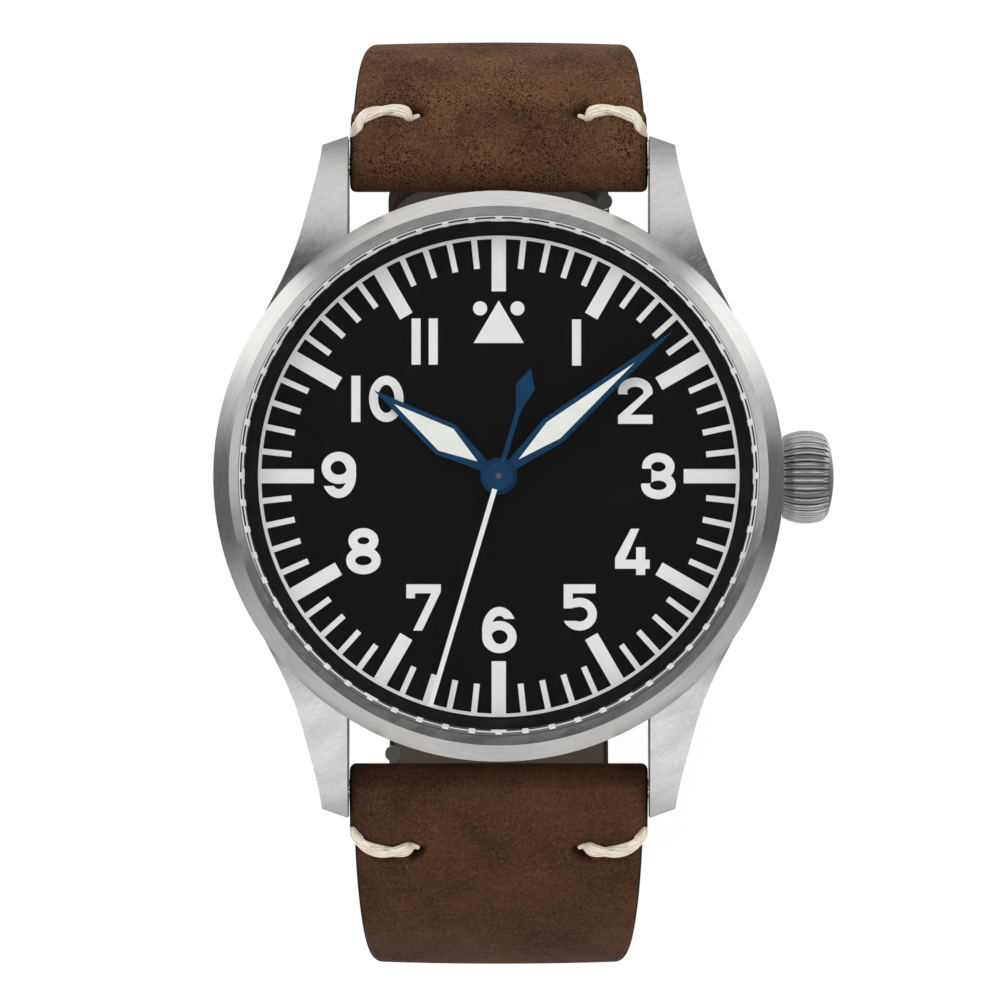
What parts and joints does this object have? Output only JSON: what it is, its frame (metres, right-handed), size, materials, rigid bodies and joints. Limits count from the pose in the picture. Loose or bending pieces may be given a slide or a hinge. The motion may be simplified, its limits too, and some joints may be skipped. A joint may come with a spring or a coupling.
{
  "type": "pilot watch",
  "caption": "Round steel pilot watch with crown, plain numeral dial, three hands, inner movement and a two-piece leather strap curved to a loop.",
  "frame": {"origin": "centre of the flat case back", "axes": "+Z out of the dial along the hand arbor, +Y to twelve o'clock, +X to the crown"},
  "size_m": [0.0415, 0.0631, 0.0587],
  "materials": {
    "brushed_steel": "satin brushed",
    "polished_steel": "polished",
    "crystal_glass": "clear, flat, bevelled edge",
    "dial_black": "matt black",
    "print_white": "matt white print",
    "hand_blue": "blue lacquer",
    "lume_white": "pale luminous fill",
    "plate_metal": "plated",
    "wheel_brass": "gilt",
    "tool_steel": "ground",
    "ruby": "polished",
    "seal_rubber": "matt",
    "holder_plastic": "matt",
    "strap_leather": "oiled, pull-up, pored",
    "lining_leather": "black, fine grained",
    "stitch_thread": "waxed two-ply cord"
  },
  "bodies": {
    "case": {"mid_case": "brushed_steel", "case_back": "brushed_steel", "case_back_gasket": "seal_rubber", "bezel": "polished_steel", "crystal": "crystal_glass", "crystal_gasket": "seal_rubber", "crown_tube": "polished_steel", "movement_ring": "holder_plastic", "flange_ring": "dial_black", "dial": "dial_black", "dial_numerals": "print_white", "dial_minute_track": "print_white", "main_plate": "plate_metal", "barrel_bridge": "plate_metal", "train_bridge": "plate_metal", "balance_cock": "plate_metal", "jewels": "ruby", "bridge_screws": "tool_steel", "click": "tool_steel", "hairspring": "tool_steel"},
    "seconds_train": {"seconds_hand": "hand_blue", "seconds_needle": "print_white", "fourth_wheel": "wheel_brass"},
    "minute_train": {"minute_hand": "hand_blue", "minute_hand_lume": "lume_white", "center_wheel": "wheel_brass", "cannon_pinion": "tool_steel"},
    "hour_train": {"hour_hand": "hand_blue", "hour_hand_lume": "lume_white", "hour_wheel": "wheel_brass"},
    "motion_work": {"minute_wheel": "wheel_brass"},
    "third": {"third_wheel": "wheel_brass"},
    "escape": {"escape_wheel": "tool_steel"},
    "barrel": {"barrel_drum": "wheel_brass", "mainspring": "tool_steel"},
    "fork": {"pallet_fork": "tool_steel"},
    "balance": {"balance_wheel": "wheel_brass"},
    "winding_rotor": {"rotor": "plate_metal"},
    "keyless_works": {"winding_pinion": "tool_steel", "sliding_clutch": "tool_steel"},
    "crown_unit": {"crown": "brushed_steel", "winding_stem": "tool_steel", "crown_gasket": "seal_rubber"},
    "crown_wheel_unit": {"crown_wheel": "tool_steel"},
    "ratchet_unit": {"ratchet_wheel": "tool_steel"},
    "strap_12": {"strap_short": "strap_leather", "strap_short_lining": "lining_leather", "stitches_short": "stitch_thread", "spring_bar_12": "polished_steel", "fixed_keeper": "strap_leather"},
    "strap_6": {"strap_long": "strap_leather", "strap_long_lining": "lining_leather", "stitches_long": "stitch_thread", "spring_bar_6": "polished_steel"},
    "pin_12": {"release_pin_12": "polished_steel"},
    "pin_6": {"release_pin_6": "polished_steel"},
    "buckle": {"buckle_frame": "brushed_steel", "buckle_bar": "polished_steel"},
    "tang": {"buckle_tang": "polished_steel"},
    "sliding_keeper": {"free_keeper": "strap_leather"}
  },
  "joints": [
    {"name": "seconds_spin", "type": "hinge", "parent": "case", "child": "seconds_train", "pos_m": [0, 0, 0.005], "axis": [0, 0, -1], "continuous": true},
    {"name": "minute_spin", "type": "hinge", "parent": "case", "child": "minute_train", "pos_m": [0, 0, 0.005], "axis": [0, 0, -1], "continuous": true},
    {"name": "hour_spin", "type": "hinge", "parent": "case", "child": "hour_train", "pos_m": [0, 0, 0.005], "axis": [0, 0, -1], "continuous": true},
    {"name": "motion_work_spin", "type": "hinge", "parent": "case", "child": "motion_work", "pos_m": [-0.0018, 0.00312, 0.005], "axis": [0, 0, -1], "continuous": true},
    {"name": "third_spin", "type": "hinge", "parent": "case", "child": "third", "pos_m": [-0.00442, -0.00161, 0.005], "axis": [0, 0, -1], "continuous": true},
    {"name": "escape_spin", "type": "hinge", "parent": "case", "child": "escape", "pos_m": [0.0012, -0.00446, 0.005], "axis": [0, 0, -1], "continuous": true},
    {"name": "barrel_spin", "type": "hinge", "parent": "case", "child": "barrel", "pos_m": [0.00163, 0.00609, 0.005], "axis": [0, 0, -1], "continuous": true},
    {"name": "fork_rock", "type": "hinge", "parent": "case", "child": "fork", "pos_m": [-0.00106, -0.00604, 0.0044], "axis": [0, 0, 1], "range_deg": [-5, 5]},
    {"name": "balance_swing", "type": "hinge", "parent": "case", "child": "balance", "pos_m": [-0.00387, -0.00735, 0.003], "axis": [0, 0, 1], "range_deg": [-150, 150], "stiffness_Nm_per_rad": 0.00000076},
    {"name": "rotor_spin", "type": "hinge", "parent": "case", "child": "winding_rotor", "pos_m": [0, 0, 0.005], "axis": [0, 0, -1], "continuous": true},
    {"name": "crown_turn", "type": "hinge", "parent": "case", "child": "keyless_works", "pos_m": [0.01, 0, 0.0049], "axis": [1, 0, 0], "continuous": true},
    {"name": "crown_pull", "type": "slide", "parent": "keyless_works", "child": "crown_unit", "axis": [1, 0, 0], "range_m": [0, 0.0012]},
    {"name": "crown_wheel_spin", "type": "hinge", "parent": "case", "child": "crown_wheel_unit", "pos_m": [0.0084, 0.0024, 0.005], "axis": [0, 0, -1], "continuous": true},
    {"name": "ratchet_spin", "type": "hinge", "parent": "case", "child": "ratchet_unit", "pos_m": [0.00163, 0.00609, 0.005], "axis": [0, 0, -1], "continuous": true},
    {"name": "strap_12_swing", "type": "hinge", "parent": "case", "child": "strap_12", "pos_m": [0, 0.021, 0.0042], "axis": [1, 0, 0], "range_deg": [0, 80]},
    {"name": "strap_6_swing", "type": "hinge", "parent": "case", "child": "strap_6", "pos_m": [0, -0.021, 0.0042], "axis": [-1, 0, 0], "range_deg": [0, 40]},
    {"name": "release_12", "type": "slide", "parent": "strap_12", "child": "pin_12", "axis": [-1, 0, 0], "range_m": [0, 0.0015], "stiffness_N_per_m": 200},
    {"name": "release_6", "type": "slide", "parent": "strap_6", "child": "pin_6", "axis": [1, 0, 0], "range_m": [0, 0.0015], "stiffness_N_per_m": 200},
    {"name": "buckle_swing", "type": "hinge", "parent": "strap_12", "child": "buckle", "pos_m": [0, -0.0029, -0.043], "axis": [1, 0, 0], "range_deg": [0, 45]},
    {"name": "tang_swing", "type": "hinge", "parent": "buckle", "child": "tang", "pos_m": [0, -0.0029, -0.043], "axis": [1, 0, 0], "range_deg": [0, 45]},
    {"name": "keeper_slide", "type": "slide", "parent": "strap_12", "child": "sliding_keeper", "axis": [0, 1, 0], "range_m": [-0.002, 0.002]}
  ],
  "couplings": [
    {"joint": "minute_spin", "follows": "seconds_spin", "ratio": 0.016667},
    {"joint": "hour_spin", "follows": "seconds_spin", "ratio": 0.0013889},
    {"joint": "motion_work_spin", "follows": "seconds_spin", "ratio": -0.0055556},
    {"joint": "third_spin", "follows": "seconds_spin", "ratio": -0.13333},
    {"joint": "escape_spin", "follows": "seconds_spin", "ratio": -10},
    {"joint": "barrel_spin", "follows": "seconds_spin", "ratio": -0.0020833},
    {"joint": "crown_wheel_spin", "follows": "crown_turn", "ratio": 0.36364},
    {"joint": "ratchet_spin", "follows": "crown_turn", "ratio": -0.2449},
    {"joint": "strap_6_swing", "follows": "strap_12_swing", "ratio": 0.5}
  ]
}
